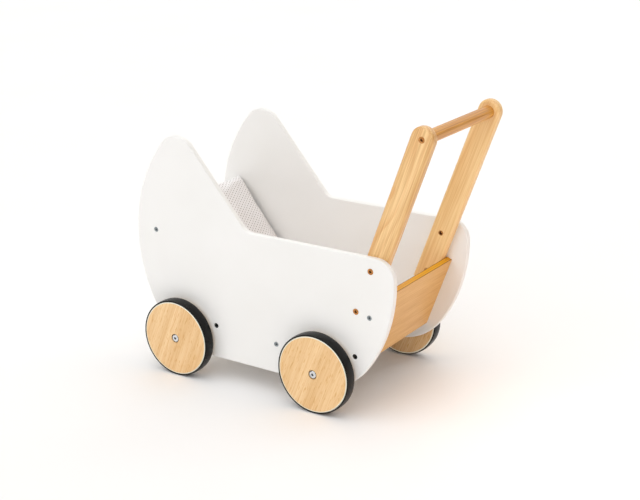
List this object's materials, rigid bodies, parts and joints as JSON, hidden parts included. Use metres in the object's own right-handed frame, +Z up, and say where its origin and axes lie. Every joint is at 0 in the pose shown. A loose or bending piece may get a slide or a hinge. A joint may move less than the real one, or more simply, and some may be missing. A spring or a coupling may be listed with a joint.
{
  "type": "doll stroller",
  "caption": "Wooden doll pram: hood-shaped white side panels, boards between them, leaning push handle, rubber-tyred wooden disc wheels on steel axles and loose padded bedding.",
  "frame": {"origin": "on the floor under the middle of the overall box, between the four wheels", "axes": "+Z up, +X from the hood end towards the handle, +Y towards the stroller's right-hand side as it is pushed"},
  "size_m": [0.501, 0.27, 0.4305],
  "materials": {
    "white_panel": "satin white lacquer on 9 mm fibreboard",
    "plywood": "clear lacquered plywood",
    "pine": "clear lacquered pine",
    "wheel_wood": "clear lacquered beech",
    "tyre_rubber": "smooth black rubber",
    "nylon": "natural nylon",
    "zinc_steel": "bright zinc plate",
    "bronzed_steel": "antique bronze plate",
    "dotted_fabric": "white cotton with small grey dots"
  },
  "bodies": {
    "carriage": {"left_side_panel": "white_panel", "right_side_panel": "white_panel", "floor_board": "white_panel", "head_board": "white_panel", "back_board": "plywood", "left_handle_arm": "pine", "right_handle_arm": "pine", "push_bar": "pine", "front_axle": "zinc_steel", "rear_axle": "zinc_steel", "wheel_spacers": "nylon", "wheel_washers": "zinc_steel", "wheel_bolts": "zinc_steel", "head_board_screws": "zinc_steel", "floor_board_screws": "zinc_steel", "back_board_screws": "zinc_steel", "arm_bolts": "bronzed_steel", "arm_inserts": "bronzed_steel", "push_bar_screws": "bronzed_steel"},
    "front_left_wheel": {"front_left_wheel_disc": "wheel_wood", "front_left_tyre": "tyre_rubber", "front_left_bush": "nylon"},
    "front_right_wheel": {"front_right_wheel_disc": "wheel_wood", "front_right_tyre": "tyre_rubber", "front_right_bush": "nylon"},
    "rear_left_wheel": {"rear_left_wheel_disc": "wheel_wood", "rear_left_tyre": "tyre_rubber", "rear_left_bush": "nylon"},
    "rear_right_wheel": {"rear_right_wheel_disc": "wheel_wood", "rear_right_tyre": "tyre_rubber", "rear_right_bush": "nylon"},
    "bedding": {"head_pad": "dotted_fabric", "mattress": "dotted_fabric"}
  },
  "joints": [
    {"name": "front_left_wheel_spin", "type": "hinge", "parent": "carriage", "child": "front_left_wheel", "pos_m": [-0.16735, 0, 0.06], "axis": [0, -1, 0], "continuous": true},
    {"name": "front_right_wheel_spin", "type": "hinge", "parent": "carriage", "child": "front_right_wheel", "pos_m": [-0.16735, 0, 0.06], "axis": [0, -1, 0], "continuous": true},
    {"name": "rear_left_wheel_spin", "type": "hinge", "parent": "carriage", "child": "rear_left_wheel", "pos_m": [0.08215, 0, 0.06], "axis": [0, -1, 0], "continuous": true},
    {"name": "rear_right_wheel_spin", "type": "hinge", "parent": "carriage", "child": "rear_right_wheel", "pos_m": [0.08215, 0, 0.06], "axis": [0, -1, 0], "continuous": true},
    {"name": "bedding_lift_out", "type": "slide", "parent": "carriage", "child": "bedding", "axis": [-0.6334, 0, 0.7738], "range_m": [0, 0.26]}
  ]
}
